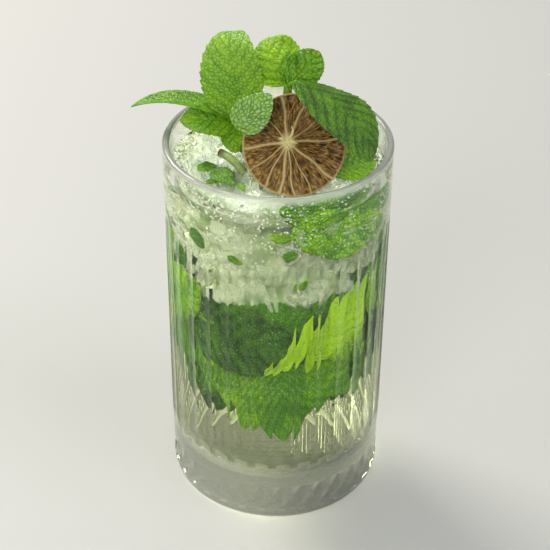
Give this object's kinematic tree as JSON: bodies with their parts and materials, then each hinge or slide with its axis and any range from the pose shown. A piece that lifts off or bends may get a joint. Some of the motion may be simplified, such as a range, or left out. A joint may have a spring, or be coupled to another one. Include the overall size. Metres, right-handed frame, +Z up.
{
  "type": "mojito cocktail",
  "caption": "Straight fluted highball glass filled with a pale green drink, crushed ice and mint, with mint sprigs and a dried lime wheel standing in the ice at its mouth.",
  "frame": {"origin": "centre of the foot's flat underside, on the table", "axes": "+Z up out of the glass's mouth, -Y towards the lime wheel's face and the viewer, +X to the viewer's right"},
  "size_m": [0.0907, 0.079, 0.1748],
  "materials": {
    "glass": "clear pressed glass, fire polished",
    "drink": "clear pale green sparkling drink",
    "ice": "wet crushed ice, frosty and clear by turns",
    "dried_lime": "dried citrus flesh with pale membranes",
    "mint": "fresh wrinkled mint leaf, softly shiny"
  },
  "bodies": {
    "root": {"glass": "glass", "drink": "drink", "crushed_ice": "ice", "lime_wheel": "dried_lime", "mint_sprig_upright": "mint", "mint_sprig_draped": "mint", "mint_leaf_resting": "mint"}
  },
  "joints": []
}
